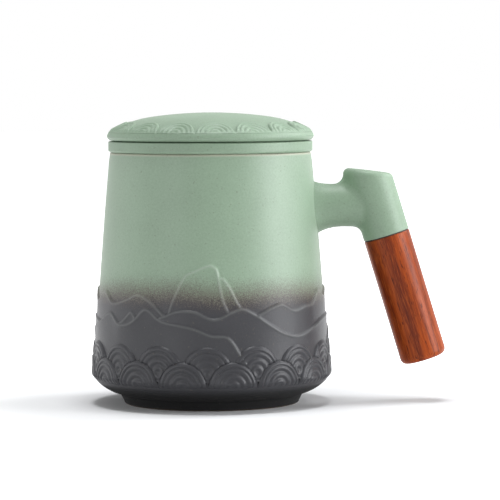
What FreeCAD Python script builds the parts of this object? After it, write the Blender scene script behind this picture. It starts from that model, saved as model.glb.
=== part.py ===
# Lidded tea mug with a lift-out infuser, in millimetres.
# The mug's axis is Z, its foot stands on z = 0, and the handle points along +X.
import FreeCAD
import Part

import math
import os

from FreeCAD import Vector

AXIS = Vector(0, 0, 1)
CENTRE = Vector(0, 0, 0)

# Cup: a tapering stoneware wall on a narrow foot ring
foot_radius = 34.6
foot_rounding = 0.9
foot_spread = 1.6
foot_height = 3.9
foot_ring_width = 4.5
foot_recess = 2.0
underside_bow = 0.75
shoulder_radius = 46.2
shoulder_height = 12.0
shoulder_inset = 1.0
shoulder_drop = 3.1
shoulder_bow = 0.33
collar_radius = 39.95
wall_bow = 0.35
rim_height = 98.9
rim_band = 3.3
rim_inset = 0.35
rim_rounding = 0.9
wall_thickness = 3.95
floor_thickness = 5.8
floor_corner = 8.0

# Infuser: a perforated stoneware basket that hangs from its flange on the cup's rim
infuser_clearance = 0.5
flange_overhang = 0.25
flange_thickness = 4.2
flange_under_rounding = 0.9
flange_top_rounding = 0.35
basket_depth = 61.0
basket_taper = 4.0
basket_wall = 2.6
basket_corner = 3.0
basket_lip_rounding = 1.3
drain_hole_radius = 0.85
drain_pitch = 4.6
drain_rings = 5
drain_holes_per_ring = 6
wall_hole_rows = 3
wall_hole_count = 24
wall_hole_pitch = 5.0
wall_hole_start = 7.0

# Lid: a low dome with a locating ring that drops into the infuser's mouth
lid_clearance = 0.5
lid_overhang = 0.55
lid_height = 11.2
lid_belly_height = 1.9
lid_belly_bow = 0.12
lid_lip_inset = 1.05
lid_lip_lift = 0.45
lid_rim_height = 4.6
lid_rim_inset = 2.35
lid_rim_bow = 0.6
lid_land_inset = 3.35
dome_shoulder_width = 14.4
dome_shoulder_bow = 0.63
dome_crown_drop = 1.75
lid_wall = 3.8
lid_hollow_step = 1.2
spigot_length = 5.4
spigot_width = 3.0

# Handle: a stoneware arm with a thumb rest, and a turned wooden grip under it
grip_tilt = 16.9
grip_radius = 9.15
grip_length = 51.0
grip_end_rounding = 2.4
grip_edge_rounding = 0.3
socket_reach = 27.65
socket_drop = 11.7
post_length = 26.6
thumb_rest_fall = 7.0
thumb_rest_rounding = 2.2
neck_drop = 21.3
neck_height = 17.1
neck_width = 14.8
neck_bite = 1.5
neck_blend = 3.8
flare_rise = 1.2
flare_drop = 4.2
flare_spread = 1.6
flare_length = 9.0
seal_thickness = 0.4

# Fixing inside the handle: a threaded stud between two bedded inserts
stud_radius = 2.5
stud_length = 23.0
stud_chamfer = 0.5
thread_clearance = 0.05
insert_radius = 4.4
insert_length = 12.0
insert_bed = 0.1
insert_groove = 0.5
insert_groove_width = 1.2
insert_groove_count = 3
socket_extra_depth = 1.0
seal_clearance = 0.4


def profile_point(radius, height):
    """A point of a turned profile, which lies in the XZ plane."""
    return Vector(radius, 0, height)


def line(start, end):
    """A straight edge."""
    return Part.LineSegment(start, end).toShape()


def arc(start, middle, end):
    """A round edge through three points."""
    return Part.Arc(start, middle, end).toShape()


def bowed_middle(start, end, bow):
    """The middle of a shallow arc that stands off its chord, to the right of start towards end."""
    chord = (end - start).normalize()
    return (start + end) * 0.5 + Vector(chord.z, 0, -chord.x) * bow


def bowed(start, end, bow):
    """A shallow arc that stands off its chord by the bow."""
    return arc(start, bowed_middle(start, end, bow), end)


def corner_arc(start, corner, end):
    """A quarter-round edge from start to end, in place of the sharp corner."""
    middle = (start + end) * 0.5
    return arc(start, middle + (corner - middle) * (math.sqrt(2) - 1), end)


def crown_arc(edge, crown):
    """The arc of a ball from a point of the XZ plane up to a crown on the mug's axis."""
    rise = crown.z - edge.z
    ball_radius = (edge.x**2 + rise**2) / (2 * rise)
    half_way = edge.x / 2
    drop = ball_radius - math.sqrt(ball_radius**2 - half_way**2)
    return arc(edge, profile_point(half_way, crown.z - drop), crown)


def turned(edges):
    """A solid turned about the mug's axis from a closed profile."""
    face = Part.Face(Part.Wire(edges))
    return face.revolve(CENTRE, AXIS, 360)


# Places that follow from the sizes above
COLLAR_HEIGHT = rim_height - rim_band
FLOOR_HEIGHT = foot_recess + floor_thickness
MOUTH_RADIUS = collar_radius - wall_thickness
WALL_FOOT = profile_point(shoulder_radius, shoulder_height)
WALL_TOP = profile_point(collar_radius, COLLAR_HEIGHT)
WALL_CIRCLE = bowed(WALL_FOOT, WALL_TOP, wall_bow).Curve


def wall_radius(height):
    """The cup's outer radius at a height on its wall."""
    rise = height - WALL_CIRCLE.Center.z
    return WALL_CIRCLE.Center.x + math.sqrt(WALL_CIRCLE.Radius**2 - rise**2)


def inner_wall_point(height):
    """A point on the cup's inner wall."""
    return profile_point(wall_radius(height) - wall_thickness, height)


def cup_outline():
    """The outer edges of the cup, from the foot's tread to the top of the rim."""
    tread = profile_point(foot_radius - foot_rounding, 0)
    foot_side = profile_point(foot_radius, foot_rounding)
    foot_root = profile_point(foot_radius + foot_spread, foot_height)
    shoulder_foot = profile_point(shoulder_radius - shoulder_inset, shoulder_height - shoulder_drop)
    rim_outer = profile_point(collar_radius - rim_inset, rim_height - rim_rounding)
    rim_top = profile_point(rim_outer.x - rim_rounding, rim_height)
    return [
        corner_arc(tread, profile_point(foot_radius, 0), foot_side),
        line(foot_side, foot_root),
        bowed(foot_root, shoulder_foot, underside_bow),
        bowed(shoulder_foot, WALL_FOOT, shoulder_bow),
        bowed(WALL_FOOT, WALL_TOP, wall_bow),
        line(WALL_TOP, rim_outer),
        corner_arc(rim_outer, profile_point(rim_outer.x, rim_height), rim_top),
    ]


def cup_blank():
    """The cup without its hollow, as a gauge for what is luted to it."""
    outline = cup_outline()
    first = outline[0].Vertexes[0].Point
    last = outline[-1].Vertexes[-1].Point
    axis_top = profile_point(0, rim_height)
    return turned([line(CENTRE, first)] + outline + [line(last, axis_top), line(axis_top, CENTRE)])


def cup():
    """The thrown and turned cup, open at the top, with a recess inside its foot ring."""
    outline = cup_outline()
    tread_outer = outline[0].Vertexes[0].Point
    rim_top = outline[-1].Vertexes[-1].Point
    rim_inner = profile_point(MOUTH_RADIUS + rim_rounding, rim_height)
    mouth = profile_point(MOUTH_RADIUS, rim_height - rim_rounding)
    throat = inner_wall_point(COLLAR_HEIGHT)
    corner_top = inner_wall_point(FLOOR_HEIGHT + floor_corner)
    inner_middle = inner_wall_point((throat.z + corner_top.z) / 2)
    corner_foot = profile_point(corner_top.x - floor_corner, FLOOR_HEIGHT)
    floor_centre = profile_point(0, FLOOR_HEIGHT)
    recess_centre = profile_point(0, foot_recess)
    recess_edge = profile_point(foot_radius - foot_ring_width, foot_recess)
    tread_inner = profile_point(foot_radius - foot_ring_width, 0)
    return turned(
        [line(tread_inner, tread_outer)]
        + outline
        + [
            line(rim_top, rim_inner),
            corner_arc(rim_inner, profile_point(MOUTH_RADIUS, rim_height), mouth),
            line(mouth, throat),
            arc(throat, inner_middle, corner_top),
            corner_arc(corner_top, profile_point(corner_top.x, FLOOR_HEIGHT), corner_foot),
            line(corner_foot, floor_centre),
            line(floor_centre, recess_centre),
            line(recess_centre, recess_edge),
            line(recess_edge, tread_inner),
        ]
    )


FLANGE_RADIUS = collar_radius + flange_overhang
FLANGE_TOP = rim_height + flange_thickness
BASKET_TOP_RADIUS = MOUTH_RADIUS - infuser_clearance
BASKET_FOOT_RADIUS = BASKET_TOP_RADIUS - basket_taper
BASKET_FLOOR = rim_height - basket_depth
INFUSER_MOUTH_RADIUS = BASKET_TOP_RADIUS - basket_wall


def infuser_blank():
    """The basket and its flange before the drain holes are pierced."""
    inner_radius = BASKET_FOOT_RADIUS - basket_wall
    inner_floor_height = BASKET_FLOOR + basket_wall
    neck_root = profile_point(BASKET_TOP_RADIUS, rim_height)
    flange_foot = profile_point(FLANGE_RADIUS - flange_under_rounding, rim_height)
    flange_low = profile_point(FLANGE_RADIUS, rim_height + flange_under_rounding)
    flange_high = profile_point(FLANGE_RADIUS, FLANGE_TOP - flange_top_rounding)
    flange_crest = profile_point(FLANGE_RADIUS - flange_top_rounding, FLANGE_TOP)
    lip_top = profile_point(INFUSER_MOUTH_RADIUS + basket_lip_rounding, FLANGE_TOP)
    lip = profile_point(INFUSER_MOUTH_RADIUS, FLANGE_TOP - basket_lip_rounding)
    inner_low = profile_point(inner_radius, inner_floor_height + basket_corner)
    inner_floor = profile_point(inner_radius - basket_corner, inner_floor_height)
    floor_centre = profile_point(0, inner_floor_height)
    under_centre = profile_point(0, BASKET_FLOOR)
    outer_floor = profile_point(BASKET_FOOT_RADIUS - basket_corner, BASKET_FLOOR)
    outer_low = profile_point(BASKET_FOOT_RADIUS, BASKET_FLOOR + basket_corner)
    return turned(
        [
            line(neck_root, flange_foot),
            corner_arc(flange_foot, profile_point(FLANGE_RADIUS, rim_height), flange_low),
            line(flange_low, flange_high),
            corner_arc(flange_high, profile_point(FLANGE_RADIUS, FLANGE_TOP), flange_crest),
            line(flange_crest, lip_top),
            corner_arc(lip_top, profile_point(INFUSER_MOUTH_RADIUS, FLANGE_TOP), lip),
            line(lip, inner_low),
            corner_arc(inner_low, profile_point(inner_radius, inner_floor_height), inner_floor),
            line(inner_floor, floor_centre),
            line(floor_centre, under_centre),
            line(under_centre, outer_floor),
            corner_arc(outer_floor, profile_point(BASKET_FOOT_RADIUS, BASKET_FLOOR), outer_low),
            line(outer_low, neck_root),
        ]
    )


def drain_holes():
    """Drills for the rings of holes in the basket's floor and low on its wall."""
    drills = []
    floor_depth = 3 * basket_wall
    wall_depth = 4 * basket_wall
    for ring in range(drain_rings + 1):
        count = max(1, drain_holes_per_ring * ring)
        for step in range(count):
            angle = 2 * math.pi * step / count
            foot = Vector(math.cos(angle), math.sin(angle), 0) * (ring * drain_pitch)
            foot.z = BASKET_FLOOR - basket_wall
            drills.append(Part.makeCylinder(drain_hole_radius, floor_depth, foot, AXIS))
    for row in range(wall_hole_rows):
        height = BASKET_FLOOR + wall_hole_start + row * wall_hole_pitch
        for step in range(wall_hole_count):
            angle = 2 * math.pi * (step + 0.5 * (row % 2)) / wall_hole_count
            outward = Vector(math.cos(angle), math.sin(angle), 0)
            start = outward * (BASKET_FOOT_RADIUS - wall_depth / 2) + AXIS * height
            drills.append(Part.makeCylinder(drain_hole_radius, wall_depth, start, outward))
    return drills


def infuser():
    """The pierced basket."""
    return infuser_blank().cut(Part.makeCompound(drain_holes()))


LID_SEAT = FLANGE_TOP
LID_TOP = LID_SEAT + lid_height
LID_RADIUS = FLANGE_RADIUS + lid_overhang
SPIGOT_RADIUS = INFUSER_MOUTH_RADIUS - lid_clearance


def lid_outline():
    """The outer edges of the lid, from its lower lip to the top of its dome."""
    lip = profile_point(LID_RADIUS - lid_lip_inset, LID_SEAT + lid_lip_lift)
    belly = profile_point(LID_RADIUS, LID_SEAT + lid_belly_height)
    rim = profile_point(LID_RADIUS - lid_rim_inset, LID_SEAT + lid_rim_height)
    dome_break = profile_point(rim.x - dome_shoulder_width, LID_TOP - dome_crown_drop)
    return [
        bowed(lip, belly, lid_belly_bow),
        bowed(belly, rim, lid_rim_bow),
        bowed(rim, dome_break, dome_shoulder_bow),
        crown_arc(dome_break, profile_point(0, LID_TOP)),
    ]


def lid():
    """The lid, hollow underneath, with a land that rests on the flange and a locating ring."""
    outline = lid_outline()
    lip = outline[0].Vertexes[0].Point
    crown = outline[-1].Vertexes[-1].Point
    ring_inner = SPIGOT_RADIUS - spigot_width
    ring_foot = LID_SEAT - spigot_length
    under_crown = profile_point(0, crown.z - lid_wall)
    under_edge = profile_point(ring_inner, LID_SEAT + lid_hollow_step)
    ring_foot_inner = profile_point(ring_inner, ring_foot)
    ring_foot_outer = profile_point(SPIGOT_RADIUS, ring_foot)
    land_inner = profile_point(SPIGOT_RADIUS, LID_SEAT)
    land_outer = profile_point(LID_RADIUS - lid_land_inset, LID_SEAT)
    land_step = profile_point(land_outer.x, lip.z)
    return turned(
        outline
        + [
            line(crown, under_crown),
            crown_arc(under_edge, under_crown),
            line(under_edge, ring_foot_inner),
            line(ring_foot_inner, ring_foot_outer),
            line(ring_foot_outer, land_inner),
            line(land_inner, land_outer),
            line(land_outer, land_step),
            line(land_step, lip),
        ]
    )


NECK_CENTRE = rim_height - neck_drop
NECK_ROOT = wall_radius(NECK_CENTRE)
SOCKET_CENTRE = Vector(NECK_ROOT + socket_reach, 0, NECK_CENTRE - socket_drop)
GRIP_DOWN = Vector(math.sin(math.radians(grip_tilt)), 0, -math.cos(math.radians(grip_tilt)))


def along_grip(distance):
    """The point of the grip's axis at a distance below the socket's face, negative above it."""
    return SOCKET_CENTRE + GRIP_DOWN * distance


def upright_ellipse(x, low, high, width):
    """A wire in the plane of one x, from a low to a high height, and of one width along Y."""
    middle = Vector(x, 0, (low + high) / 2)
    top = Vector(x, 0, high)
    side = middle + Vector(0, width / 2, 0)
    if high - low >= width:
        ellipse = Part.Ellipse(top, side, middle)
    else:
        ellipse = Part.Ellipse(side, top, middle)
    return Part.Wire([ellipse.toShape()])


def neck():
    """The level neck of the arm, which flares where it is luted to the cup."""
    low = NECK_CENTRE - neck_height / 2
    high = NECK_CENTRE + neck_height / 2
    flared_width = neck_width + 2 * flare_spread
    eased_width = neck_width + flare_spread / 2
    eased_low = low - flare_drop / 4
    sections = [
        upright_ellipse(NECK_ROOT - neck_bite, low - flare_drop, high + flare_rise, flared_width),
        upright_ellipse(NECK_ROOT + flare_length * 0.4, eased_low, high, eased_width),
        upright_ellipse(NECK_ROOT + flare_length, low, high, neck_width),
        upright_ellipse(along_grip(-post_length / 2).x, low, high, neck_width),
    ]
    return Part.makeLoft(sections, True, False)


def post():
    """The slanting post above the grip, cut off at the thumb rest."""
    spare = 2 * grip_radius
    shaft = Part.makeCylinder(grip_radius, post_length + spare, SOCKET_CENTRE, GRIP_DOWN * -1)
    above = Part.makeBox(4 * spare, 4 * spare, 2 * spare, Vector(-2 * spare, -2 * spare, 0))
    above.rotate(CENTRE, Vector(0, 1, 0), thumb_rest_fall)
    above.translate(along_grip(-post_length))
    return shaft.cut(above).Solids[0]


def middle_reach(edge):
    """How far out along X the middle of an edge lies."""
    return edge.valueAt((edge.FirstParameter + edge.LastParameter) / 2).x


def joint_edge(shape, centre, radius):
    """The round edge of a shape that lies closest to a circle about a point of the grip's axis."""
    circles = [edge for edge in shape.Edges if isinstance(edge.Curve, Part.Circle)]
    return min(
        circles,
        key=lambda edge: edge.Curve.Center.distanceToPoint(centre) + abs(edge.Curve.Radius - radius),
    )


def arm_blank():
    """The arm's neck and post, blended where they meet and rounded about the thumb rest."""
    body = post().fuse(neck()).removeSplitter()
    rounds = [edge for edge in body.Edges if len(edge.Vertexes) == 1]
    seams = [edge for edge in rounds if isinstance(edge.Curve, Part.BSplineCurve)]
    body = body.makeFillet(neck_blend, [max(seams, key=middle_reach)])
    rest_edges = [edge for edge in body.Edges if isinstance(edge.Curve, Part.Ellipse)]
    body = body.makeFillet(thumb_rest_rounding, rest_edges)
    return body.makeFillet(grip_edge_rounding, [joint_edge(body, SOCKET_CENTRE, grip_radius)])


def bore(from_distance, to_distance, radius):
    """A drill along the grip's axis between two distances below the socket's face."""
    length = to_distance - from_distance
    return Part.makeCylinder(radius, length, along_grip(from_distance), GRIP_DOWN)


def handle_arm():
    """The arm, cut to sit on the cup's wall, with the socket for its insert."""
    socket = bore(-insert_length - socket_extra_depth, 0, insert_radius + insert_bed)
    return arm_blank().cut(cup_blank()).cut(socket).Solids[0]


def insert_at(from_distance):
    """A threaded insert with ring grooves that key it into its bed."""
    barrel = bore(from_distance, from_distance + insert_length, insert_radius)
    barrel = barrel.cut(bore(from_distance, from_distance + insert_length, stud_radius + thread_clearance))
    pitch = insert_length / insert_groove_count
    for index in range(insert_groove_count):
        start = from_distance + (index + 0.5) * pitch - insert_groove_width / 2
        ring = bore(start, start + insert_groove_width, insert_radius + insert_bed)
        core = bore(start, start + insert_groove_width, insert_radius - insert_groove)
        barrel = barrel.cut(ring.cut(core))
    return barrel


def arm_insert():
    """The steel insert bedded in the arm's socket, flush with its face."""
    return insert_at(-insert_length)


def grip_insert():
    """The brass insert in the top of the wooden grip."""
    return insert_at(seal_thickness)


def stud():
    """The double-ended stud that draws the grip up against the arm."""
    middle = seal_thickness / 2
    blank = bore(middle - stud_length / 2, middle + stud_length / 2, stud_radius)
    ends = [e for e in blank.Edges if isinstance(e.Curve, Part.Circle)]
    return blank.makeChamfer(stud_chamfer, ends)


def grip_seal():
    """The thin ring that seals the wood's end grain against the stoneware."""
    ring = bore(0, seal_thickness, grip_radius - grip_edge_rounding)
    return ring.cut(bore(0, seal_thickness, insert_radius + seal_clearance))


def grip():
    """The turned wooden grip, with a bore for its insert."""
    top = seal_thickness
    end = seal_thickness + grip_length
    blank = bore(top, end, grip_radius)
    blank = blank.makeFillet(grip_end_rounding, [joint_edge(blank, along_grip(end), grip_radius)])
    blank = blank.makeFillet(grip_edge_rounding, [joint_edge(blank, along_grip(top), grip_radius)])
    return blank.cut(bore(top, top + insert_length + socket_extra_depth, insert_radius + insert_bed))


PARTS = {
    "cup": cup,
    "handle_arm": handle_arm,
    "grip": grip,
    "grip_seal": grip_seal,
    "stud": stud,
    "arm_insert": arm_insert,
    "grip_insert": grip_insert,
    "infuser": infuser,
    "lid": lid,
}

os.makedirs("parts", exist_ok=True)
for name, make in PARTS.items():
    shape = make()
    shape.exportStep(f"parts/{name}.step")
    print(f"{name}: {len(shape.Solids)} solid, {shape.Volume / 1000:.2f} cm3")
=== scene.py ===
# %% [markdown]
# # A lidded tea mug with a lift-out infuser
# The mug is matte stoneware: sage green above, charcoal below, with waves and mountains in low relief.
# Its wooden grip is screwed under a stoneware arm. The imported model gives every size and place,
# and this lesson dresses it, piece by piece, from the cup outwards.

import math

import bmesh
import bpy
from mathutils import Matrix, Vector
from mathutils.kdtree import KDTree


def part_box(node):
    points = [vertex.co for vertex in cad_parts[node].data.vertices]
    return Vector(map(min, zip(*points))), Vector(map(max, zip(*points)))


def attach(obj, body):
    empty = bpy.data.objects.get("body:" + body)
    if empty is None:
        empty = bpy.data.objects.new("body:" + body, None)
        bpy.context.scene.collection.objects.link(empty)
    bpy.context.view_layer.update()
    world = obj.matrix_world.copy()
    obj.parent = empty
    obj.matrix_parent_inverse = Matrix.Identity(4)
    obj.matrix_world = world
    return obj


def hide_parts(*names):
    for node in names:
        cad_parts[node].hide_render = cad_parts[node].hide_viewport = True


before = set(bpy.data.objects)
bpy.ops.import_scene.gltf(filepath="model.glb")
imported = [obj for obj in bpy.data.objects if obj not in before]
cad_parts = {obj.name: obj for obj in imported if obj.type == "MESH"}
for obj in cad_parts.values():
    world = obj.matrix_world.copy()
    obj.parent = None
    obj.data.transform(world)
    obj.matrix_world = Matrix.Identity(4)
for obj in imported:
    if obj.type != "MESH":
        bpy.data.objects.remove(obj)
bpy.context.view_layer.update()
MM = 0.001

# %% [markdown]
# ## Helpers for turned ware
# A potter's piece is a profile turned about an axis, so most shapes here start as a row of
# (radius, height) points in millimetres, spun by one bmesh operator. A cylinder with its rings scaled
# could give the same forms, but each round would be guessed, and here it has its radius. Shallow
# curves are given by their two ends and a bow, the way a template for a wall is cut.


# %% Points of a profile
def bowed(start, end, bow, steps):
    """Points from start towards end along a shallow curve that stands off its chord by the bow."""
    (r0, z0), (r1, z1) = start, end
    length = math.hypot(r1 - r0, z1 - z0)
    out_r, out_z = (z1 - z0) / length, (r0 - r1) / length
    points = []
    for step in range(steps):
        t = step / steps
        rise = 4 * bow * t * (1 - t)
        points.append((r0 + (r1 - r0) * t + out_r * rise, z0 + (z1 - z0) * t + out_z * rise))
    return points


def rounded(start, corner, end, steps):
    """Points of a quarter round from start towards end, in place of the corner."""
    centre_r, centre_z = start[0] + end[0] - corner[0], start[1] + end[1] - corner[1]
    points = []
    for step in range(steps):
        turn = 0.5 * math.pi * step / steps
        a, b = math.cos(turn), math.sin(turn)
        points.append(
            (
                centre_r + (start[0] - centre_r) * a + (end[0] - centre_r) * b,
                centre_z + (start[1] - centre_z) * a + (end[1] - centre_z) * b,
            )
        )
    return points


# %% Turning a profile and making a piece
def turned(points, steps, ring=False):
    """A bmesh spun about the mug's axis. A ring's profile is a closed loop."""
    shape = bmesh.new()
    row = [shape.verts.new((radius * MM, 0, height * MM)) for radius, height in points]
    edges = [shape.edges.new(pair) for pair in zip(row, row[1:])]
    if ring:
        edges.append(shape.edges.new((row[-1], row[0])))
    bmesh.ops.spin(
        shape,
        geom=row + edges,
        cent=(0, 0, 0),
        axis=(0, 0, 1),
        angle=2 * math.pi,
        steps=steps,
        use_merge=True,
    )
    bmesh.ops.remove_doubles(shape, verts=shape.verts, dist=0.0005 * MM)
    bmesh.ops.recalc_face_normals(shape, faces=shape.faces)
    return shape


def make_piece(name, shape, body, stands_for=()):
    """Turns a bmesh into a smooth piece that rides on a body."""
    mesh = bpy.data.meshes.new(name)
    shape.to_mesh(mesh)
    shape.free()
    mesh.shade_smooth()
    piece = bpy.data.objects.new(name, mesh)
    bpy.context.scene.collection.objects.link(piece)
    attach(piece, body)
    if stands_for:
        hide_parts(*stands_for)
    print(name, "has", len(mesh.polygons), "faces")
    return piece


# %% [markdown]
# ## The cup
# The cup is slip-cast stoneware. Its wall leans in from a rounded shoulder to the rim, and stands on a
# narrow foot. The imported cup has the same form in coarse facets, which would show under the relief, so
# a finer one stands in for it: one profile from the foot's tread, round the rim and down the inside to
# the middle of the floor. A function for the wall's radius comes first, because everything in relief
# is laid on that wall.

# %% The cup's sizes, in millimetres
rim_height = round(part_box("cup")[1].z / MM, 2)
foot_radius = 34.6
foot_rounding = 0.9
foot_spread = 1.6
foot_height = 3.9
foot_ring_width = 4.5
foot_recess = 2.0
recess_rounding = 0.6
tread_rounding = 0.5
underside_bow = 0.75
shoulder_radius = 46.2
shoulder_height = 12.0
shoulder_inset = 1.0
shoulder_drop = 3.1
shoulder_bow = 0.33
collar_radius = 39.95
rim_band = 3.3
rim_inset = 0.35
rim_rounding = 0.9
wall_bow = 0.35
wall_thickness = 3.95
floor_thickness = 5.8
floor_corner = 8.0
print("rim at", rim_height, "mm, mouth", 2 * (collar_radius - wall_thickness), "mm across inside")

# %% The cup's wall
foot_root = (foot_radius + foot_spread, foot_height)
shoulder_foot = (shoulder_radius - shoulder_inset, shoulder_height - shoulder_drop)
shoulder = (shoulder_radius, shoulder_height)
collar = (collar_radius, rim_height - rim_band)


def wall_radius(height):
    """The cup's outer radius in mm at a height in mm, shoulder included."""
    if height >= shoulder[1]:
        t = (height - shoulder[1]) / (collar[1] - shoulder[1])
        return shoulder[0] + (collar[0] - shoulder[0]) * t + 4 * wall_bow * t * (1 - t)
    if height >= shoulder_foot[1]:
        t = (height - shoulder_foot[1]) / (shoulder[1] - shoulder_foot[1])
        return shoulder_foot[0] + (shoulder[0] - shoulder_foot[0]) * t + 4 * shoulder_bow * t * (1 - t)
    slope = (shoulder_foot[0] - foot_root[0]) / (shoulder_foot[1] - foot_root[1])
    return shoulder_foot[0] - slope * (shoulder_foot[1] - height)


print("wall", round(wall_radius(rim_height / 2), 2), "mm from the axis at half the cup's height")

# %% The cup's shell
inside_rows = 24
floor_rings = (20.0, 6.0)
cup_segments = 256

floor_height = foot_recess + floor_thickness
tread_inner = foot_radius - foot_ring_width
recess_start = (tread_inner - recess_rounding, foot_recess)
recess_end = (tread_inner, foot_recess - recess_rounding)
tread_start = (tread_inner, tread_rounding)
tread_end = (tread_inner + tread_rounding, 0.0)
foot_side = (foot_radius, foot_rounding)
tread_outer = (foot_radius - foot_rounding, 0.0)
rim_side = (collar[0] - rim_inset, rim_height - rim_rounding)
rim_top = (rim_side[0] - rim_rounding, rim_height)
mouth_radius = collar[0] - wall_thickness
rim_inner = (mouth_radius + rim_rounding, rim_height)
mouth = (mouth_radius, rim_height - rim_rounding)
corner_top = (wall_radius(floor_height + floor_corner) - wall_thickness, floor_height + floor_corner)
corner_foot = (corner_top[0] - floor_corner, floor_height)

inside_wall = []
for step in range(inside_rows):
    height = collar[1] - step * (collar[1] - corner_top[1]) / inside_rows
    inside_wall.append((wall_radius(height) - wall_thickness, height))

cup_profile = (
    [(0.0, foot_recess)]
    + rounded(recess_start, (tread_inner, foot_recess), recess_end, 4)
    + rounded(tread_start, (tread_inner, 0.0), tread_end, 4)
    + [tread_end]
    + rounded(tread_outer, (foot_radius, 0.0), foot_side, 6)
    + bowed(foot_side, foot_root, 0.0, 4)
    + bowed(foot_root, shoulder_foot, underside_bow, 14)
    + bowed(shoulder_foot, shoulder, shoulder_bow, 8)
    + bowed(shoulder, collar, wall_bow, 40)
    + bowed(collar, rim_side, 0.0, 4)
    + rounded(rim_side, (rim_side[0], rim_height), rim_top, 6)
    + [rim_top]
    + rounded(rim_inner, (mouth_radius, rim_height), mouth, 6)
    + bowed(mouth, (mouth_radius, collar[1]), 0.0, 3)
    + inside_wall
    + rounded(corner_top, (corner_top[0], floor_height), corner_foot, 10)
    + [corner_foot]
    + [(ring, floor_height) for ring in floor_rings]
    + [(0.0, floor_height)]
)
cup_shape = turned(cup_profile, cup_segments)
cup_shell = make_piece("cup_shell", cup_shape, "mug", ["cup"])

# %% [markdown]
# ## Mountains in low relief
# Ranges of hills lie round the wall like cut paper: each is a thin plate with a soft bright edge
# that sinks back into the wall below it, and a nearer range covers the ones behind. A bump texture
# could draw them, but they would be missing from the outline and from an exported mesh. So a closed
# band a hair proud of the wall carries them, with its points moved out by the relief. A range is a row
# of (angle, height) points, in degrees from the front and millimetres, and goes round twice. The
# distance to its edge is measured on the unrolled wall, so an edge is as wide on a steep slope.

# %% The ranges, from the far ones to the near ones
mountain_ranges = [
    {
        "thick": 0.35,
        "fade": 15.0,
        "line": [
            (-90, 30), (-10, 31), (-3, 44), (3.5, 52), (6.8, 52.4), (9.2, 50.4), (11.7, 47.2),
            (14, 43.4), (16.4, 40.4), (21, 34), (28, 30),
        ],
    },
    {
        "thick": 0.6,
        "fade": 15.0,
        "line": [
            (-90, 30), (-24, 32), (-20.6, 41), (-17.8, 46.2), (-14.6, 51.2), (-12.4, 53.6),
            (-8, 55.2), (-3, 56.8), (0.5, 57.4), (3.2, 56.4), (4.8, 54.4), (5.7, 50.5), (6.8, 45.5),
            (8.4, 41.6), (10.5, 38.4), (16, 31),
        ],
    },
    {
        "thick": 0.75,
        "fade": 15.0,
        "line": [
            (-90, 46.5), (-80, 42), (-66, 46), (-57, 42), (-47, 43.4), (-38, 45.8), (-29, 42.6),
            (-20, 37), (0, 35), (22, 37.5), (31, 40.6), (38, 42), (46, 39.4), (55, 40.6),
            (61, 41.2), (69, 46), (79, 43.5),
        ],
    },
    {
        "thick": 0.92,
        "fade": 10.0,
        "line": [
            (-90, 36), (-70, 34), (-56, 33), (-48, 35.6), (-42, 39), (-36, 35), (-25, 37.4),
            (-16, 40), (-7, 39.8), (2, 37), (10, 39.4), (16, 40.8), (22, 38.8), (31, 34.2),
            (40, 30.6), (50, 29.6), (70, 34.5),
        ],
    },
    {
        "thick": 1.08,
        "fade": 8.0,
        "line": [
            (-90, 30), (-74, 33), (-58, 38), (-50, 34), (-42, 35.2), (-33, 40.4), (-24, 36.2),
            (-13, 34.4), (-6, 33), (1, 30.8), (8.5, 30.2), (12, 27.4), (15, 23.6), (20, 19),
            (50, 18), (70, 19), (80, 24),
        ],
    },
]
range_repeat = 180
print(len(mountain_ranges), "ranges, each twice round the cup")


# %% The height of a range's edge
def wrapped(angle, period):
    """An angle brought to within half a period of zero."""
    return (angle + period / 2) % period - period / 2


def ridge_height(line, angle):
    """The height of a range's edge at an angle, on a smooth curve through its points."""
    span = wrapped(angle, range_repeat)
    count = len(line)
    last = max(index for index in range(count) if line[index][0] <= span)
    near = [line[(last + offset) % count] for offset in (-1, 0, 1, 2)]
    start = near[1][0]
    width = (near[2][0] - start) % range_repeat
    t = (span - start) / width
    before = (start - near[0][0]) % range_repeat
    after = (near[3][0] - near[2][0]) % range_repeat
    slope_in = (near[2][1] - near[0][1]) / (before + width) * width
    slope_out = (near[3][1] - near[1][1]) / (width + after) * width
    a = near[1][1] * (1 + 2 * t) * (1 - t) ** 2 + near[2][1] * t * t * (3 - 2 * t)
    return a + slope_in * t * (1 - t) ** 2 - slope_out * t * t * (1 - t)


print("the big mountain's top is at", round(ridge_height(mountain_ranges[1]["line"], 0), 1), "mm")

# %% The soft bright edge of a range
edge_start = -0.1
edge_width = 1.1
bead_height = 0.13
bead_width = 0.4
bead_share = 0.8
unrolled_radius = 43.5
edge_points = 9600
edge_overlap = 5.0


def smooth_step(low, high, value):
    """0 below low, 1 above high, and a smooth rise between them."""
    t = min(max((value - low) / (high - low), 0.0), 1.0)
    return t * t * (3 - 2 * t)


def bell(distance, width):
    """1 at no distance, and a smooth fall to 0 within about twice the width."""
    return math.exp(-((distance / width) ** 2))


def edge_finder(line):
    """A tree of points along a range's edge on the unrolled wall, to find the nearest of them."""
    tree = KDTree(edge_points + 1)
    for index in range(edge_points + 1):
        angle = (range_repeat / 2 + edge_overlap) * (2 * index / edge_points - 1)
        tree.insert((math.radians(angle) * unrolled_radius, ridge_height(line, angle), 0.0), index)
    tree.balance()
    return tree


finders = [edge_finder(hills["line"]) for hills in mountain_ranges]


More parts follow.
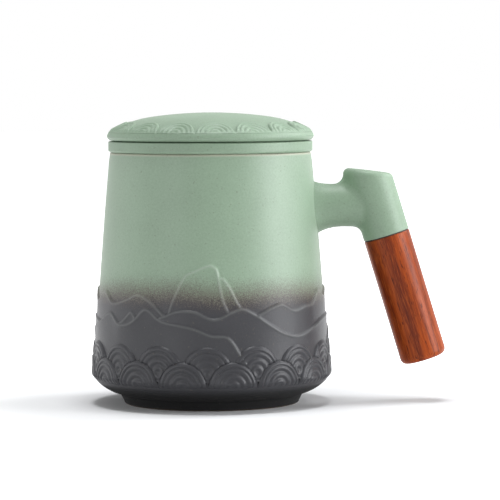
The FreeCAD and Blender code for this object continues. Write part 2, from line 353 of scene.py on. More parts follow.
def stacked_ranges(span, height, edges):
    """How far the ranges stand out at a place, and how near their edges are, from 0 to 1, for the edges'
    wear and painted highlight.
    """
    place = (math.radians(span) * unrolled_radius, height, 0.0)
    relief = 0.0
    nearness = 0.0
    for hills, edge, finder in zip(mountain_ranges, edges, finders):
        below = edge - height
        depth = math.copysign(finder.find(place)[2], below)
        cover = smooth_step(edge_start, edge_width, depth)
        surface = hills["thick"] * math.exp(-max(below, 0.0) / hills["fade"])
        line = bell(depth - bead_share * edge_width, bead_width)
        relief += (surface - relief) * cover + bead_height * line
        nearness = max(nearness * (1 - cover), line)
    return relief, nearness


# %% A plain band round the wall
band_segments = 810
band_low, band_high = 17.0, 59.5
band_rows = 118
band_sink = 1.0

band_heights = [band_low + (band_high - band_low) * row / band_rows for row in range(band_rows + 1)]
band_profile = [(wall_radius(height), height) for height in band_heights]
band_profile.append((wall_radius(band_high) - band_sink, band_high))
band_profile.append((wall_radius(band_low) - band_sink, band_low))
band = turned(band_profile, band_segments, ring=True)

print("band from", band_low, "to", band_high, "mm with", len(band.verts), "points")

# %% The ranges pressed into the band
band_proud = 0.02
band_tuck = 0.05
band_end = 1.0
wave_zone = (17.0, 20.0)
mark_zone = (36.0, 50.0)
dark_mark = 0.45
column_step = 360 / band_segments

columns = []
for column in range(band_segments):
    columns.append([ridge_height(hills["line"], column * column_step) for hills in mountain_ranges])

crest_layer = band.verts.layers.float.new("crest")
for vert in band.verts:
    height = vert.co.z / MM
    radius = math.hypot(vert.co.x, vert.co.y) / MM
    if radius < wall_radius(height) - band_sink / 2:
        continue
    angle = math.degrees(math.atan2(vert.co.x, -vert.co.y))
    edges = columns[round(angle / column_step) % band_segments]
    relief, nearness = stacked_ranges(wrapped(angle, range_repeat), height, edges)
    held = smooth_step(*wave_zone, height)
    end = smooth_step(band_low, band_low + band_end, height)
    end *= smooth_step(-band_high, -band_high + band_end, -height)
    relief = (relief * held + band_proud) * end - band_tuck * (1 - end)
    scale = (wall_radius(height) + relief) / radius
    vert.co.x *= scale
    vert.co.y *= scale
    # the crest value marks the edges for worn glaze and a painted highlight, weaker on the charcoal
    vert[crest_layer] = nearness * (dark_mark + (1 - dark_mark) * smooth_step(*mark_zone, height))
mountain_relief = make_piece("mountain_relief", band, "mug")

# %% [markdown]
# ## Waves in low relief
# Two rows of overlapping fans, the old wave pattern of fans in rows, stand on the shoulder. Pressed
# into the band like the hills, their round ridges would need far more points, because its rows don't
# follow circles. So one fan is a disc with ridges, spun flat and cut off at its base. Copies of it are
# wrapped round the wall, and the row behind is pushed under where a fan of the front row covers it.

# %% One flat fan
fan_steps = 72
ridge_first, ridge_pitch = 0.17, 0.26
band_start = 0.78
flank_drop, flank_lean = 0.9, 0.35
dish = 0.22
ridge_roundness = 0.7
ridge_samples = 28
outer_band_step = 0.25
fan_root = 0.6
fan_root_spread = 0.05


def fan_profile(radius, thick, groove, flank):
    """(distance from the middle, height) points over three round ridges, a band and its flank."""
    points = []
    for sample in range(ridge_samples):
        share = band_start * sample / ridge_samples
        swell = 0.5 + 0.5 * math.cos(2 * math.pi * (share - ridge_first) / ridge_pitch)
        level = thick * (1 - dish * (1 - share))
        points.append((share * radius, level - groove * (1 - swell**ridge_roundness)))
    edge = radius - flank
    start = band_start * radius
    points.append((start, thick - groove))
    points.append((start + 0.5 * (edge - start), thick - outer_band_step * groove))
    foot = thick * (1 - flank_drop)
    points += rounded((edge, thick), (radius - flank_lean * flank, thick), (radius, foot), 10)
    points.append((radius, foot))
    points.append((radius + fan_root_spread, -fan_root))
    points.append((0.0, -fan_root))
    return points


def flat_fan(name, row):
    """A mesh of one fan lying flat and cut off straight at its base."""
    profile = fan_profile(row["radius"], row["thick"], row["groove"], row["flank"])
    shape = turned(profile, fan_steps)
    planes = bmesh.ops.bisect_plane(
        shape,
        geom=shape.verts[:] + shape.edges[:] + shape.faces[:],
        plane_co=(0, -row["base"] * MM, 0),
        plane_no=(0, -1, 0),
        clear_outer=True,
    )
    cut = [part for part in planes["geom_cut"] if isinstance(part, bmesh.types.BMEdge)]
    bmesh.ops.holes_fill(shape, edges=cut, sides=0)
    bmesh.ops.recalc_face_normals(shape, faces=shape.faces)
    mesh = bpy.data.meshes.new(name)
    shape.to_mesh(mesh)
    shape.free()
    return mesh


# %% The two rows on the cup
fans_round = 15
fan_pitch = 360 / fans_round
low_row = {
    "first": 10.9,
    "centre": 10.3,
    "radius": 10.0,
    "thick": 1.45,
    "groove": 0.5,
    "flank": 1.65,
    "base": 0.3,
}
high_row = {
    "first": -1.2,
    "centre": 15.9,
    "radius": 10.2,
    "thick": 1.2,
    "groove": 0.45,
    "flank": 1.6,
    "base": 3.5,
}
fan_narrowing = 0.95
fan_foot = (9.2, 12.2)
fan_tuck = (0.2, 1.2)


def place_fans(name, row, covers=None):
    """A row of fans wrapped round the wall. Where a fan of the covering row lies, this row sinks."""
    blank = flat_fan(name + "_blank", row)
    shape = bmesh.new()
    for index in range(fans_round):
        before = len(shape.verts)
        shape.from_mesh(blank)
        shape.verts.ensure_lookup_table()
        middle = row["first"] + index * fan_pitch
        for vert in shape.verts[before:]:
            along, up, out = fan_narrowing * vert.co.x / MM, vert.co.y / MM, vert.co.z / MM
            height = row["centre"] + up
            radius = wall_radius(height)
            angle = middle + math.degrees(along / wall_radius(row["centre"]))
            if out > 0:
                out *= smooth_step(*fan_foot, height)
            if covers:
                side = wrapped(angle - covers["first"], fan_pitch)
                across = math.radians(side) * radius / fan_narrowing
                reach = math.hypot(across, height - covers["centre"])
                out -= row["thick"] * smooth_step(*fan_tuck, covers["radius"] - reach)
            turn = math.radians(angle)
            vert.co = Vector((math.sin(turn), -math.cos(turn), 0)) * (radius + out) * MM
            vert.co.z = height * MM
    bpy.data.meshes.remove(blank)
    bmesh.ops.recalc_face_normals(shape, faces=shape.faces)
    return make_piece(name, shape, "mug")


waves_high = place_fans("waves_high", high_row, covers=low_row)
waves_low = place_fans("waves_low", low_row)

# %% [markdown]
# ## The lid
# The lid is a low dome with a soft belly at its edge, hollow underneath, with a ring that drops into
# the infuser. Like the cup, it is spun from one profile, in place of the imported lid's coarser facets.
# It carries one row of the same fans, laid on the slope just above the belly. They fade into the dome
# at their base, as the glaze softens them on the real lid.

# %% The lid's sizes, in millimetres
seat = round(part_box("infuser")[1].z / MM, 2)
lid_top = round(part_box("lid")[1].z / MM, 2)
lid_radius = 40.75
lid_lip_inset = 1.05
lid_lip_lift = 0.45
lid_belly_height = 1.9
lid_belly_bow = 0.12
lid_rim_inset = 2.35
lid_rim_height = 4.6
lid_rim_bow = 0.6
dome_shoulder_width = 14.4
dome_shoulder_bow = 0.63
dome_crown_drop = 1.75
land_inset = 3.35
lid_wall = 3.8
hollow_step = 1.2
spigot_radius = 32.4
spigot_width = 3.0
spigot_length = 5.4
spigot_rounding = 0.8

lid_lip = (lid_radius - lid_lip_inset, seat + lid_lip_lift)
lid_belly = (lid_radius, seat + lid_belly_height)
lid_rim = (lid_radius - lid_rim_inset, seat + lid_rim_height)
dome_break = (lid_rim[0] - dome_shoulder_width, lid_top - dome_crown_drop)
land_radius = lid_radius - land_inset
spigot_inner = spigot_radius - spigot_width
spigot_foot = seat - spigot_length
print("lid", 2 * lid_radius, "mm across, its crown at", round(lid_top, 1), "mm")

# %% The lid's curves
crown_ball = (dome_break[0] ** 2 + dome_crown_drop**2) / (2 * dome_crown_drop)
hollow_rise = lid_top - lid_wall - (seat + hollow_step)
hollow_ball = (spigot_inner**2 + hollow_rise**2) / (2 * hollow_rise)
crown_steps = 16
hollow_steps = 12
facet_allowance = 1.05


def ball_height(top, ball, radius):
    """The height of a ball's surface at a radius from its crown."""
    return top - ball + math.sqrt(ball**2 - radius**2)


def lid_height(radius):
    """The height of the lid's outer face at a radius, a hair above the shoulder's facets."""
    if radius <= dome_break[0]:
        return ball_height(lid_top, crown_ball, radius)
    t = (lid_rim[0] - radius) / (lid_rim[0] - dome_break[0])
    level = lid_rim[1] + (dome_break[1] - lid_rim[1]) * t
    return level + 4 * dome_shoulder_bow * t * (1 - t) * facet_allowance


# %% The lid's shell
crown = []
for step in range(crown_steps + 1):
    radius = dome_break[0] * (1 - step / crown_steps)
    crown.append((radius, ball_height(lid_top, crown_ball, radius)))

lid_outside = (
    bowed(lid_lip, lid_belly, lid_belly_bow, 5)
    + bowed(lid_belly, lid_rim, lid_rim_bow, 10)
    + bowed(lid_rim, dome_break, dome_shoulder_bow, 20)
    + crown
)

hollow = []
for step in range(hollow_steps + 1):
    radius = spigot_inner * step / hollow_steps
    hollow.append((radius, ball_height(lid_top - lid_wall, hollow_ball, radius)))

spigot_round = spigot_foot + spigot_rounding
inner_round = (spigot_inner + spigot_rounding, spigot_foot)
outer_round = (spigot_radius - spigot_rounding, spigot_foot)
lid_underside = (
    hollow
    + rounded((spigot_inner, spigot_round), (spigot_inner, spigot_foot), inner_round, 4)
    + rounded(outer_round, (spigot_radius, spigot_foot), (spigot_radius, spigot_round), 4)
    + [(spigot_radius, spigot_round), (spigot_radius, seat)]
    + [(land_radius, seat), (land_radius, lid_lip[1])]
)
lid_shape = turned(lid_underside + lid_outside, cup_segments)
lid_shell = make_piece("lid_shell", lid_shape, "lid", ["lid"])

# %% The fans on the lid
lid_fans = 16
lid_fan_pitch = 360 / lid_fans
lid_fan_first = 3.4
lid_row = {"radius": 8.8, "thick": 0.7, "groove": 0.4, "flank": 1.0, "base": 0.3}
lid_fan_narrowing = 0.86
lid_fan_seat = 39.9
lid_fan_foot = 1.6
lid_fan_lean = 0.87
slope_step = 0.2

blank = flat_fan("lid_fan_blank", lid_row)
lid_waves_shape = bmesh.new()
for index in range(lid_fans):
    before = len(lid_waves_shape.verts)
    lid_waves_shape.from_mesh(blank)
    lid_waves_shape.verts.ensure_lookup_table()
    middle = lid_fan_first + index * lid_fan_pitch
    for vert in lid_waves_shape.verts[before:]:
        along, up, out = lid_fan_narrowing * vert.co.x / MM, vert.co.y / MM, vert.co.z / MM
        radius = lid_fan_seat - up * lid_fan_lean
        slope = (lid_height(radius - slope_step) - lid_height(radius + slope_step)) / (2 * slope_step)
        turn = math.radians(middle) + along / lid_fan_seat
        if out > 0:
            out *= smooth_step(-lid_row["base"], lid_fan_foot, up)
        reach = radius + out * slope / math.hypot(1, slope)
        height = lid_height(radius) + out / math.hypot(1, slope)
        vert.co = Vector((math.sin(turn) * reach, -math.cos(turn) * reach, height)) * MM
bpy.data.meshes.remove(blank)
bmesh.ops.recalc_face_normals(lid_waves_shape, faces=lid_waves_shape.faces)
lid_waves = make_piece("lid_waves", lid_waves_shape, "lid")

# %% [markdown]
# ## The wooden grip
# The grip is a turned stick of hardwood, rounded at its foot and bored for the insert at its top. It
# could be a cylinder with bevels, but a spun profile also gives the faint swell that a hand tool
# leaves. It is turned upright and then tilted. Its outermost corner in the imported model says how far
# out the arm's socket lies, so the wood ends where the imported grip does.

# %% The grip
grip_radius = 9.15
grip_tilt = math.radians(16.9)
grip_length = 51.0
seal_thickness = 0.4
grip_swell = 0.03
grip_end_rounding = 2.4
grip_edge_rounding = 0.45
grip_end_ring = 4.0
grip_segments = 96
insert_bore = 4.5
insert_bore_depth = 13.0

grip_top = -seal_thickness
grip_end = grip_top - grip_length
bore_end = grip_top - insert_bore_depth
top_edge = (grip_radius - grip_edge_rounding, grip_top)
side_start = (grip_radius, grip_top - grip_edge_rounding)
side_end = (grip_radius, grip_end + grip_end_rounding)
end_face = (grip_radius - grip_end_rounding, grip_end)
grip_profile = (
    [(0.0, bore_end), (insert_bore, bore_end), (insert_bore, grip_top)]
    + rounded(top_edge, (grip_radius, grip_top), side_start, 5)
    + bowed(side_start, side_end, grip_swell, 24)
    + rounded(side_end, (grip_radius, grip_end), end_face, 10)
    + [end_face, (grip_end_ring, grip_end), (0.0, grip_end)]
)
grip_shape = turned(grip_profile, grip_segments)

# %% The grip in its place
grip_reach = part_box("grip")[1].x / MM
lean = Matrix.Rotation(-grip_tilt, 4, "Y")
socket_z = 65.9
end_reach = (-grip_end - grip_end_rounding) * math.sin(grip_tilt) + grip_end_rounding
end_reach += (grip_radius - grip_end_rounding) * math.cos(grip_tilt)
socket_x = grip_reach - end_reach
socket = Vector((socket_x, 0, socket_z)) * MM
print("socket at", round(socket_x, 3), "mm from the cup's axis")
bmesh.ops.transform(grip_shape, matrix=Matrix.Translation(socket) @ lean, verts=grip_shape.verts)
grip_wood = make_piece("grip_wood", grip_shape, "mug", ["grip"])

# %% [markdown]
# ## Finishes
# Colours are written as they look on a screen, from 0 to 255, and turned into the light values that
# shaders use. Finishes could be built by hand in the node editor, but a script repeats them exactly.
# Small helpers add nodes, so that each finish reads as a short recipe.


# %% Helpers for finishes
def screen(red, green, blue):
    """A screen colour as linear light, with full cover."""

    def linear(value):
        value /= 255
        return value / 12.92 if value <= 0.04045 else ((value + 0.055) / 1.055) ** 2.4

    return (linear(red), linear(green), linear(blue), 1.0)


def add_node(tree, kind, inputs=None, **settings):
    """Adds a node with its settings, and sets or links its inputs."""
    made = tree.nodes.new(kind)
    for key, value in settings.items():
        setattr(made, key, value)
    for key, value in (inputs or {}).items():
        if isinstance(value, bpy.types.NodeSocket):
            tree.links.new(value, made.inputs[key])
        else:
            made.inputs[key].default_value = value
    return made


def maths(tree, operation, first, second=0.0):
    """The result of a sum on two values."""
    return add_node(tree, "ShaderNodeMath", {0: first, 1: second}, operation=operation).outputs[0]


def mixed(tree, factor, first, second):
    """Two colours mixed by a factor."""
    inputs = {0: factor, 6: first, 7: second}
    return add_node(tree, "ShaderNodeMix", inputs, data_type="RGBA", clamp_factor=True).outputs[2]


def spread(tree, value, low, high, to_low=0.0, to_high=1.0):
    """A value stretched from one range to another, smoothly, and held at its ends."""
    inputs = {"Value": value, "From Min": low, "From Max": high, "To Min": to_low, "To Max": to_high}
    made = add_node(tree, "ShaderNodeMapRange", inputs, interpolation_type="SMOOTHSTEP")
    return made.outputs["Result"]


def grainy(tree, vector, scale, detail=2.0, roughness=0.5):
    """Smooth random values about 0.5."""
    inputs = {"Vector": vector, "Scale": scale, "Detail": detail, "Roughness": roughness}
    return add_node(tree, "ShaderNodeTexNoise", inputs).outputs["Fac"]


def new_material(name):
    """A material with its node tree, its shader and its object coordinates."""
    material = bpy.data.materials.new(name)
    material.use_nodes = True
    tree = material.node_tree
    shader = tree.nodes["Principled BSDF"]
    place = add_node(tree, "ShaderNodeTexCoord").outputs["Object"]
    return material, tree, shader, place


def seen_through(tree):
    """1 for rays from the camera, a mirror or clear glass, and 0 for rays that only carry light."""
    rays = add_node(tree, "ShaderNodeLightPath").outputs
    bounced = maths(tree, "MAXIMUM", rays["Is Glossy Ray"], rays["Is Transmission Ray"])
    return maths(tree, "MAXIMUM", rays["Is Camera Ray"], bounced)


def dress(name, material):
    """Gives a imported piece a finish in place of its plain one."""
    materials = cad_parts[name].data.materials
    materials.clear()
    materials.append(material)


print("colours are turned to linear light: a mid grey becomes", round(screen(128, 128, 128)[0], 3))

# %% [markdown]
# ## Grain of the glaze
# Both glazes are matte: fired to a skin of fine crystals, slightly mottled, with a few iron freckles,
# and worn paler on raised edges, where a painted highlight is laid on as well. An image wrapped on
# the cup would do this too, but it would show a seam. So one node group holds the grain and both
# glazes share it. It reads object coordinates, and gives only a colour and a height.

# %% Shared effect: fine grain of a matte glaze
grain_scale = 1400.0
cloud_scale = 90.0
cloud_share = 0.35
freckle_scale = 1100.0
freckle_levels = (0.68, 0.76)
freckle_colour = screen(92, 84, 72)
# a pale colour mixed into crests: worn glaze, and a painted highlight on raised edges
worn_and_highlight_colour = screen(200, 204, 198)
worn_and_highlight_share = 0.2


def glaze_grain_group():
    """A node group that mottles a colour, freckles it, pales its crests with wear and painted highlight,
    and gives a height for its grain.
    """
    group = bpy.data.node_groups.new("glaze_grain", "ShaderNodeTree")
    face = group.interface
    face.new_socket("Colour", in_out="INPUT", socket_type="NodeSocketColor")
    face.new_socket("Mottle", in_out="INPUT", socket_type="NodeSocketFloat")
    face.new_socket("Freckles", in_out="INPUT", socket_type="NodeSocketFloat")
    face.new_socket("Crest", in_out="INPUT", socket_type="NodeSocketFloat")
    face.new_socket("Colour", in_out="OUTPUT", socket_type="NodeSocketColor")
    face.new_socket("Height", in_out="OUTPUT", socket_type="NodeSocketFloat")
    source = group.nodes.new("NodeGroupInput")
    place = add_node(group, "ShaderNodeTexCoord").outputs["Object"]
    fine = grainy(group, place, grain_scale, 4.0, 0.7)
    broad = grainy(group, place, cloud_scale, 2.0)
    cloud = maths(group, "MULTIPLY", maths(group, "SUBTRACT", broad, 0.5), cloud_share)
    shift = maths(group, "ADD", maths(group, "SUBTRACT", fine, 0.5), cloud)
    level = maths(group, "ADD", maths(group, "MULTIPLY", shift, source.outputs["Mottle"]), 1.0)
    toned = {"Value": level, "Color": source.outputs["Colour"]}
    shaded = add_node(group, "ShaderNodeHueSaturation", toned).outputs["Color"]
    specks = spread(group, grainy(group, place, freckle_scale, 1.0), *freckle_levels)
    specks = maths(group, "MULTIPLY", specks, source.outputs["Freckles"])
    freckled = mixed(group, specks, shaded, freckle_colour)
    # crests are mixed towards the pale colour: partly worn glaze, partly a painted highlight
    bright = maths(group, "MULTIPLY", source.outputs["Crest"], worn_and_highlight_share)
    paled_by_wear_and_highlight = mixed(group, bright, freckled, worn_and_highlight_colour)
    target = group.nodes.new("NodeGroupOutput")
    group.links.new(paled_by_wear_and_highlight, target.inputs["Colour"])
    group.links.new(fine, target.inputs["Height"])
    return group


glaze_grain = glaze_grain_group()
print(glaze_grain.name, "has", len(glaze_grain.nodes), "nodes")

# %% Laying the grain between a colour and the shader
glaze_mottle = 0.45
glaze_freckles = 0.3
glaze_bump = 0.6
glaze_bump_height = 0.08


def add_glaze(tree, shader, colour, crest=None):
    """Puts the glaze's grain between a colour and the shader, paler where a crest value says, as worn
    glaze and painted highlight.
    """
    grain = add_node(tree, "ShaderNodeGroup", node_tree=glaze_grain)
    tree.links.new(colour, grain.inputs["Colour"])
    grain.inputs["Mottle"].default_value = glaze_mottle
    grain.inputs["Freckles"].default_value = glaze_freckles
    if crest:
        tree.links.new(crest, grain.inputs["Crest"])
    tree.links.new(grain.outputs["Colour"], shader.inputs["Base Color"])
    height = grain.outputs["Height"]
    settings = {"Height": height, "Strength": glaze_bump, "Distance": glaze_bump_height * MM}
    relief = add_node(tree, "ShaderNodeBump", settings)
    tree.links.new(relief.outputs["Normal"], shader.inputs["Normal"])


# %% [markdown]
# ## The sprayed glaze of the cup
# The cup is dipped in sage glaze and its lower part is sprayed with charcoal, so the two meet in a
# cloud of specks with a warm brown fringe. A plain colour ramp by height would give a hard or a smooth
# line. Here fine noise is added to the height before the ramp, which breaks the line into specks, and
# slow noise makes it drift. The foot and the underside just above it are painted nearly black, as
# painted shade under the shoulder. The rim's edge shows buff where the glaze runs thin, with a painted
# highlight on its rounding, the inside is paler, and the tread of the foot is bare clay, wiped clean
# so that it doesn't stick in the kiln. The charcoal is bare and a little glossier, and the sage has a
# soft coat.

# %% The cup's sprayed glaze
sage = screen(138, 161, 137)
warm_grey = screen(92, 80, 73)
charcoal = screen(48, 48, 52)
foot_painted_shade = screen(8, 8, 9)
buff = screen(206, 194, 178)
pale_sage = screen(158, 176, 154)
bare_clay = screen(98, 84, 72)

# heights and lengths in millimetres, and how many grains of noise go to a metre
spray_scale = 2600.0
spray_reach = 15.0
drift_scale = 22.0
drift_reach = 7.0
fringe_zone = (39.0, 46.5)
sage_zone = (41.5, 53.5)
foot_shade_zone = (10.5, 6.0)
rim_zone = (97.5, 98.5)
rim_wear_and_highlight = 0.5
tread_zone = (0.5, 0.2)
inside_radius = 42.6
inside_lean = 0.078
inside_datum = 12.0
inside_floor = 7.6

glaze, tree, shader, place = new_material("sprayed_glaze")
height = add_node(tree, "ShaderNodeSeparateXYZ", {0: place}).outputs["Z"]
height = maths(tree, "MULTIPLY", height, 1 / MM)
spray = maths(tree, "SUBTRACT", grainy(tree, place, spray_scale, 2.0, 0.7), 0.5)
drift = maths(tree, "SUBTRACT", grainy(tree, place, drift_scale, 1.0), 0.5)
dusted = maths(tree, "ADD", height, maths(tree, "MULTIPLY", spray, spray_reach))
dusted = maths(tree, "ADD", dusted, maths(tree, "MULTIPLY", drift, drift_reach))
colour = mixed(tree, spread(tree, dusted, *fringe_zone), charcoal, warm_grey)
colour = mixed(tree, spread(tree, dusted, *sage_zone), colour, sage)
# painted shade: the foot and the underside just above it go near black, for the shade under the shoulder
colour = mixed(tree, spread(tree, height, *foot_shade_zone), colour, foot_painted_shade)

# %% Its inside, tread and rim
level_plane = (1.0, 1.0, 0.0)
flat = add_node(tree, "ShaderNodeVectorMath", {0: place, 1: level_plane}, operation="MULTIPLY")
reach = add_node(tree, "ShaderNodeVectorMath", {0: flat.outputs[0]}, operation="LENGTH")
reach = maths(tree, "MULTIPLY", reach.outputs["Value"], 1 / MM)
leaned = maths(tree, "MULTIPLY", maths(tree, "SUBTRACT", height, inside_datum), inside_lean)
inside = maths(tree, "LESS_THAN", maths(tree, "ADD", reach, leaned), inside_radius)
inside = maths(tree, "MULTIPLY", inside, maths(tree, "GREATER_THAN", height, inside_floor))
colour = mixed(tree, inside, colour, pale_sage)
colour = mixed(tree, spread(tree, height, *tread_zone), colour, bare_clay)
# the rim's rounding is mixed towards buff: thin glaze showing the clay, and partly a painted highlight
rim_line = maths(tree, "MULTIPLY", spread(tree, height, *rim_zone), rim_wear_and_highlight)
colour = mixed(tree, rim_line, colour, buff)
# The crest value pales the ranges' edges: worn glaze, and a painted highlight laid on them.
crest = add_node(tree, "ShaderNodeAttribute", attribute_name="crest").outputs["Fac"]
add_glaze(tree, shader, colour, crest)

# %% Its gloss
rough_zone = (38.0, 50.0)
charcoal_rough, sage_rough = 0.4, 0.48
foot_rough_zone = (10.5, 7.0)
foot_rough = 0.8
inside_smoother = 0.16
coat_zone = (42.0, 55.0)
sage_coat = 0.55

rough = spread(tree, dusted, *rough_zone, charcoal_rough, sage_rough)
rough = maths(tree, "MAXIMUM", rough, spread(tree, height, *foot_rough_zone, 0.0, foot_rough))
rough = maths(tree, "SUBTRACT", rough, maths(tree, "MULTIPLY", inside, inside_smoother))
tree.links.new(rough, shader.inputs["Roughness"])
shader.inputs["Specular IOR Level"].default_value = 0.42
tree.links.new(spread(tree, dusted, *coat_zone, 0.0, sage_coat), shader.inputs["Coat Weight"])
shader.inputs["Coat Roughness"].default_value = 0.5
cast_ware = (cup_shell, mountain_relief, waves_low, waves_high)
for piece in cast_ware:
    piece.data.materials.append(glaze)
print(glaze.name, "is on", len(cast_ware), "pieces")

# %% [markdown]
# ## The plain sage glaze
# The lid, the arm and the infuser have the sage alone, without the coat, and hold the light a little
# more. One material serves all of them, since they come from one bath of glaze.

# %% The plain sage glaze
sage_glaze, tree, shader, place = new_material("sage_glaze")
colour = mixed(tree, grainy(tree, place, 30.0, 1.0), screen(131, 154, 130), screen(139, 162, 138))
add_glaze(tree, shader, colour)
shader.inputs["Roughness"].default_value = 0.5
shader.inputs["Specular IOR Level"].default_value = 0.6
lid_shell.data.materials.append(sage_glaze)
lid_waves.data.materials.append(sage_glaze)
for name in ("handle_arm", "infuser"):
    dress(name, sage_glaze)
print(sage_glaze.name, "is on the lid, the arm and the infuser")

# %% [markdown]
# ## The oiled wood
# The grip is a red-brown hardwood with an oiled skin. Its grain could come from rings cut by the
# turned surface, but on so thin a stick it reads as streaks. So noise is turned to the grip's tilt
# and drawn out along it, at four widths: slow bands, dark streaks, light fibres and short open pores.

# %% The wood
wood, tree, shader, place = new_material("oiled_wood")
tilted = {"Vector": place, "Rotation": (0.0, grip_tilt, 0.0)}
laid = add_node(tree, "ShaderNodeMapping", tilted).outputs["Vector"]


def along_grain(scale, shrink, detail):
    """Random values in streaks that run along the grip."""
    drawn = add_node(tree, "ShaderNodeMapping", {"Vector": laid, "Scale": (1.0, 1.0, shrink)})
    return grainy(tree, drawn.outputs["Vector"], scale, detail, 0.6)


bands = along_grain(170.0, 0.08, 2.0)
streaks = along_grain(900.0, 0.03, 3.0)
fibres = along_grain(3200.0, 0.05, 2.0)
pores = spread(tree, along_grain(2400.0, 0.12, 1.0), 0.6, 0.7)
colour = mixed(tree, spread(tree, bands, 0.36, 0.64), screen(116, 42, 10), screen(168, 72, 22))
colour = mixed(tree, spread(tree, streaks, 0.46, 0.7, 0.0, 0.6), colour, screen(88, 30, 9))
colour = mixed(tree, spread(tree, fibres, 0.46, 0.7, 0.0, 0.5), colour, screen(196, 96, 38))
colour = mixed(tree, maths(tree, "MULTIPLY", pores, 0.7), colour, screen(54, 18, 7))
tree.links.new(colour, shader.inputs["Base Color"])
relief = maths(tree, "SUBTRACT", fibres, pores)
bump = add_node(tree, "ShaderNodeBump", {"Height": relief, "Strength": 0.4, "Distance": 0.05 * MM})
tree.links.new(bump.outputs["Normal"], shader.inputs["Normal"])
tree.links.new(spread(tree, streaks, 0.3, 0.7, 0.34, 0.46), shader.inputs["Roughness"])
shader.inputs["Specular IOR Level"].default_value = 0.12
shader.inputs["Coat Weight"].default_value = 0.15
shader.inputs["Coat Roughness"].default_value = 0.3
grip_wood.data.materials.append(wood)
print(wood.name, "has", len(tree.nodes), "nodes")


# %% [markdown]
# ## Rubber and metal
# A thin rubber seal keeps the wood off the stoneware, and a steel stud joins a steel insert in the
# arm to a brass one in the wood. Only the seal shows, and a simple finish is enough for each: one
# colour and one roughness, both a little uneven, as on a real washer or a turned part.

# %% Rubber and metal
def plain_finish(name, colour, metallic, roughness, scratch):
    """A simple finish whose colour and roughness vary a little over the surface."""
    material, tree, shader, place = new_material(name)
    cloud = grainy(tree, place, 700.0, 3.0)
    darker = tuple(channel * 0.75 for channel in colour[:3]) + (1.0,)
    tree.links.new(mixed(tree, cloud, colour, darker), shader.inputs["Base Color"])
    rough = spread(tree, cloud, 0.3, 0.7, roughness - scratch, roughness + scratch)
    tree.links.new(rough, shader.inputs["Roughness"])
    shader.inputs["Metallic"].default_value = metallic
    return material


finishes = {
    "grip_seal": plain_finish("seal_rubber", screen(52, 44, 40), 0.0, 0.7, 0.06),
    "stud": plain_finish("stud_steel", screen(176, 178, 182), 1.0, 0.32, 0.08),
    "arm_insert": plain_finish("insert_steel", screen(168, 170, 174), 1.0, 0.36, 0.08),
    "grip_insert": plain_finish("insert_brass", screen(200, 164, 96), 1.0, 0.34, 0.08),
}
for name, finish in finishes.items():
    dress(name, finish)
print("finishes:", ", ".join(finish.name for finish in finishes.values()))

# %% [markdown]
# ## The floor
# The mug stands on a white paper sweep. Paper lit brightly enough to look white would also throw
# light up on the mug. So the floor is a light grey that takes the shadow, and a glow, which only the
# camera and mirror-like rays see, lifts it to white away from the mug. The glow stays low round the
# foot, where the lamps' shadow lies, and is taken out in a round spot under the grip, which paints a
# shadow there darker than the lamps cast.

# %% The floor
floor_half = 6.0
floor_shape = bmesh.new()
bmesh.ops.create_grid(floor_shape, x_segments=1, y_segments=1, size=floor_half)
floor_mesh = bpy.data.meshes.new("floor")
floor_shape.to_mesh(floor_mesh)
floor_shape.free()
floor = bpy.data.objects.new("floor", floor_mesh)
bpy.context.scene.collection.objects.link(floor)
print("floor", round(floor.dimensions.x, 1), "m across")

floor_paper, tree, shader, place = new_material("floor_paper")
shader.inputs["Base Color"].default_value = (0.83, 0.83, 0.83, 1.0)
shader.inputs["Roughness"].default_value = 0.9
shader.inputs["Specular IOR Level"].default_value = 0.1
shader.inputs["Emission Color"].default_value = (1.0, 1.0, 1.0, 1.0)

# %% The floor's glow, by the distance from the mug and from the painted shadow under the grip, in metres
glow_middle = (0.015, 0.0, 0.0)
near_zone, near_strength = (0.05, 0.078), (0.01, 0.16)
far_zone, far_strength = (0.07, 0.2), (0.0, 0.85)
grip_foot = (0.083, 0.0, 0.0)
painted_grip_shadow_zone = (0.014, 0.026)

distance = add_node(tree, "ShaderNodeVectorMath", {0: place, 1: glow_middle}, operation="DISTANCE")
distance = distance.outputs["Value"]
near_glow = spread(tree, distance, *near_zone, *near_strength)
far_glow = spread(tree, distance, *far_zone, *far_strength)
# Painted shadow: the glow is taken out in a round spot under the grip, darker than the lamps' shadow
# there.
grip_away = add_node(tree, "ShaderNodeVectorMath", {0: place, 1: grip_foot}, operation="DISTANCE")
glow_outside_grip_shadow = spread(tree, grip_away.outputs["Value"], *painted_grip_shadow_zone)
glow = maths(tree, "MULTIPLY", maths(tree, "ADD", near_glow, far_glow), glow_outside_grip_shadow)
tree.links.new(maths(tree, "MULTIPLY", seen_through(tree), glow), shader.inputs["Emission Strength"])
floor.data.materials.append(floor_paper)
print("the glow grows to", near_strength[1] + far_strength[1])

# %% [markdown]
# ## The world
# The world does the same as the floor: it lights the mug only weakly, from all sides, and is white
# where the camera or a reflection looks at it.

# %% The world
world = bpy.data.worlds.new("studio")
bpy.context.scene.world = world
world.use_nodes = True
tree = world.node_tree
tree.nodes.clear()
white = (1.0, 1.0, 1.0, 1.0)
room = add_node(tree, "ShaderNodeBackground", {"Color": white, "Strength": 0.14})
backdrop = add_node(tree, "ShaderNodeBackground", {"Color": white, "Strength": 1.0})
choice = {0: seen_through(tree), 1: room.outputs[0], 2: backdrop.outputs[0]}
chosen = add_node(tree, "ShaderNodeMixShader", choice)
add_node(tree, "ShaderNodeOutputWorld", {0: chosen.outputs[0]})
print("the world's light has a strength of", room.inputs["Strength"].default_value)

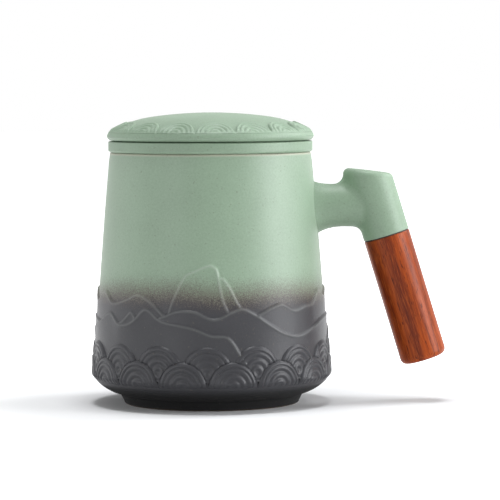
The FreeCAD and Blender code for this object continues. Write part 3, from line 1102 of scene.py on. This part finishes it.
# %% [markdown]
# ## The lamps
# The photo has a broad bright stripe down the right side, a weaker one at the left edge, and a front
# that stays darker. Five soft lamps make that: a tall key at the right, a smaller one high behind it
# that rims the arm and the grip, two weak ones at the left, and a soft one overhead for the lid and
# the shadow. The four round the sides are placed by their angle round the mug, as a stand would be,
# and the one overhead by its place.

# %% The lamps
lamp_white = (0.96, 0.975, 1.0)
mug_middle = (0.0, 0.0, 0.055)


def round_the_mug(azimuth, elevation, distance):
    """A place at an angle from the front, positive to the right, and a height angle, in degrees."""
    a, e = math.radians(azimuth), math.radians(elevation)
    flat = distance * math.cos(e)
    return (flat * math.sin(a), -flat * math.cos(a), mug_middle[2] + distance * math.sin(e))


def add_lamp(name, place, size, power):
    """A soft lamp that points at the mug's middle, with its place and size in metres and its watts."""
    lamp = bpy.data.lights.new(name, "AREA")
    lamp.shape = "RECTANGLE"
    lamp.size, lamp.size_y = size
    lamp.energy = power
    lamp.color = lamp_white
    holder = bpy.data.objects.new(name, lamp)
    holder.location = place
    aim = Vector(mug_middle) - Vector(place)
    holder.rotation_euler = aim.to_track_quat("-Z", "Y").to_euler()
    bpy.context.scene.collection.objects.link(holder)
    print(name, "gives", power, "W")


add_lamp("key_right", round_the_mug(74, 7, 1.0), (0.5, 0.8), 10.5)
add_lamp("rim_right", round_the_mug(114, 36, 1.0), (0.3, 0.6), 4.5)
add_lamp("fill_left", round_the_mug(-90, 8, 1.0), (0.9, 0.8), 2.2)
add_lamp("front_left", round_the_mug(-40, 12, 1.2), (0.3, 0.8), 2.6)
add_lamp("soft_top", (0.0, -0.04, 1.8), (0.6, 0.6), 19.0)

# %% [markdown]
# ## The camera
# The photo was taken from over a metre away with a long lens, a little above the lid and tilted
# down, so that both rims show as narrow ovals. The place and lens come from fitting the packed
# model's rims, foot and grip to the photo.

# %% The camera
camera_place = Vector((15.4, -1103.0, 126.3)) * MM
camera_tilt_down = 3.44
camera_pitch = math.radians(90 - camera_tilt_down)
camera_roll = math.radians(-0.25)
camera_data = bpy.data.cameras.new("camera")
camera_data.sensor_width = 36.0
camera_data.lens = 201.6
camera_data.clip_start = 0.01
camera = bpy.data.objects.new("camera", camera_data)
turn = Matrix.Rotation(camera_pitch, 4, "X") @ Matrix.Rotation(camera_roll, 4, "Z")
camera.matrix_world = Matrix.Translation(camera_place) @ turn
bpy.context.scene.collection.objects.link(camera)
bpy.context.scene.camera = camera
bpy.context.scene.view_settings.view_transform = "Standard"
print("camera", round(camera_place.length, 3), "m away with a lens of", camera_data.lens, "mm")
